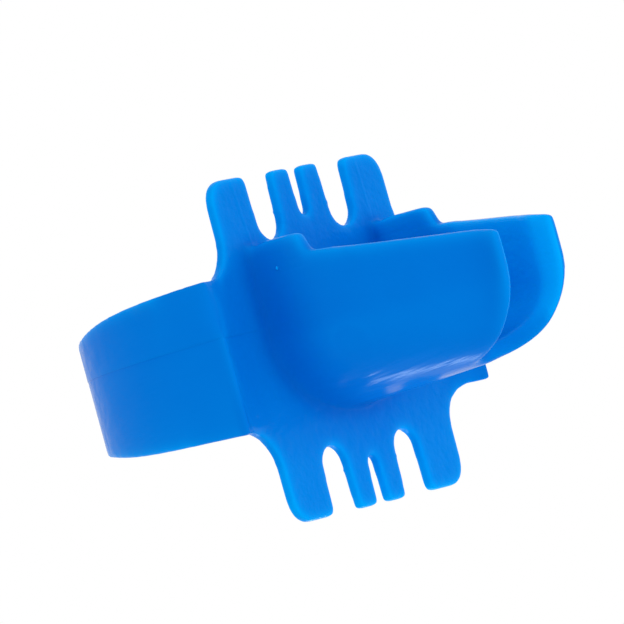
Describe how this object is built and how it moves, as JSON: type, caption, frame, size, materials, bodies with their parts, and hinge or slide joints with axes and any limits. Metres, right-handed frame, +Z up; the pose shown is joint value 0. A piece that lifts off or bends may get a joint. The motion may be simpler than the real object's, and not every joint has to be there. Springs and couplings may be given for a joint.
{
  "type": "cheek retractor",
  "caption": "Moulded plastic retractor: an oval loop with a flat comb plate of flexing fingers and a stepped open scoop on its front.",
  "frame": {"origin": "middle of the comb plate's flat back face, inside the loop", "axes": "+X along the comb plate, +Y from the plate into the loop (the scoop points along -Y), +Z up along the loop's axis"},
  "size_m": [0.0518, 0.0606, 0.041],
  "materials": {
    "blue_plastic": "glossy, slightly translucent bright blue polypropylene"
  },
  "bodies": {
    "frame": {"comb_plate": "blue_plastic", "left_band": "blue_plastic", "right_band": "blue_plastic", "back_band": "blue_plastic", "scoop_throat": "blue_plastic", "scoop_floor": "blue_plastic"},
    "left_lip": {"left_lip": "blue_plastic"},
    "right_lip": {"right_lip": "blue_plastic"},
    "upper_left_outer_finger": {"upper_left_outer_finger": "blue_plastic"},
    "upper_left_inner_finger": {"upper_left_inner_finger": "blue_plastic"},
    "upper_right_outer_finger": {"upper_right_outer_finger": "blue_plastic"},
    "upper_right_inner_finger": {"upper_right_inner_finger": "blue_plastic"},
    "lower_left_outer_finger": {"lower_left_outer_finger": "blue_plastic"},
    "lower_left_inner_finger": {"lower_left_inner_finger": "blue_plastic"},
    "lower_right_outer_finger": {"lower_right_outer_finger": "blue_plastic"},
    "lower_right_inner_finger": {"lower_right_inner_finger": "blue_plastic"}
  },
  "joints": [
    {"name": "left_lip_flex", "type": "hinge", "parent": "frame", "child": "left_lip", "pos_m": [-0.0129, -0.0122, 0.003], "axis": [0, 0, -1], "range_deg": [-4, 4], "stiffness_Nm_per_rad": 1},
    {"name": "right_lip_flex", "type": "hinge", "parent": "frame", "child": "right_lip", "pos_m": [0.0129, -0.0122, 0.003], "axis": [0, 0, 1], "range_deg": [-4, 4], "stiffness_Nm_per_rad": 1},
    {"name": "upper_left_outer_finger_flex", "type": "hinge", "parent": "frame", "child": "upper_left_outer_finger", "pos_m": [-0.0133, -0.00063, 0.0132], "axis": [1, 0, 0], "range_deg": [-25, 25], "stiffness_Nm_per_rad": 0.2},
    {"name": "upper_left_inner_finger_flex", "type": "hinge", "parent": "frame", "child": "upper_left_inner_finger", "pos_m": [-0.00295, -0.00063, 0.01565], "axis": [1, 0, 0], "range_deg": [-25, 25], "stiffness_Nm_per_rad": 0.1},
    {"name": "upper_right_outer_finger_flex", "type": "hinge", "parent": "frame", "child": "upper_right_outer_finger", "pos_m": [0.0133, -0.00063, 0.0132], "axis": [1, 0, 0], "range_deg": [-25, 25], "stiffness_Nm_per_rad": 0.2},
    {"name": "upper_right_inner_finger_flex", "type": "hinge", "parent": "frame", "child": "upper_right_inner_finger", "pos_m": [0.00295, -0.00063, 0.01565], "axis": [1, 0, 0], "range_deg": [-25, 25], "stiffness_Nm_per_rad": 0.1},
    {"name": "lower_left_outer_finger_flex", "type": "hinge", "parent": "frame", "child": "lower_left_outer_finger", "pos_m": [-0.0133, -0.00063, -0.0132], "axis": [-1, 0, 0], "range_deg": [-25, 25], "stiffness_Nm_per_rad": 0.2},
    {"name": "lower_left_inner_finger_flex", "type": "hinge", "parent": "frame", "child": "lower_left_inner_finger", "pos_m": [-0.00295, -0.00063, -0.01565], "axis": [-1, 0, 0], "range_deg": [-25, 25], "stiffness_Nm_per_rad": 0.1},
    {"name": "lower_right_outer_finger_flex", "type": "hinge", "parent": "frame", "child": "lower_right_outer_finger", "pos_m": [0.0133, -0.00063, -0.0132], "axis": [-1, 0, 0], "range_deg": [-25, 25], "stiffness_Nm_per_rad": 0.2},
    {"name": "lower_right_inner_finger_flex", "type": "hinge", "parent": "frame", "child": "lower_right_inner_finger", "pos_m": [0.00295, -0.00063, -0.01565], "axis": [-1, 0, 0], "range_deg": [-25, 25], "stiffness_Nm_per_rad": 0.1}
  ]
}
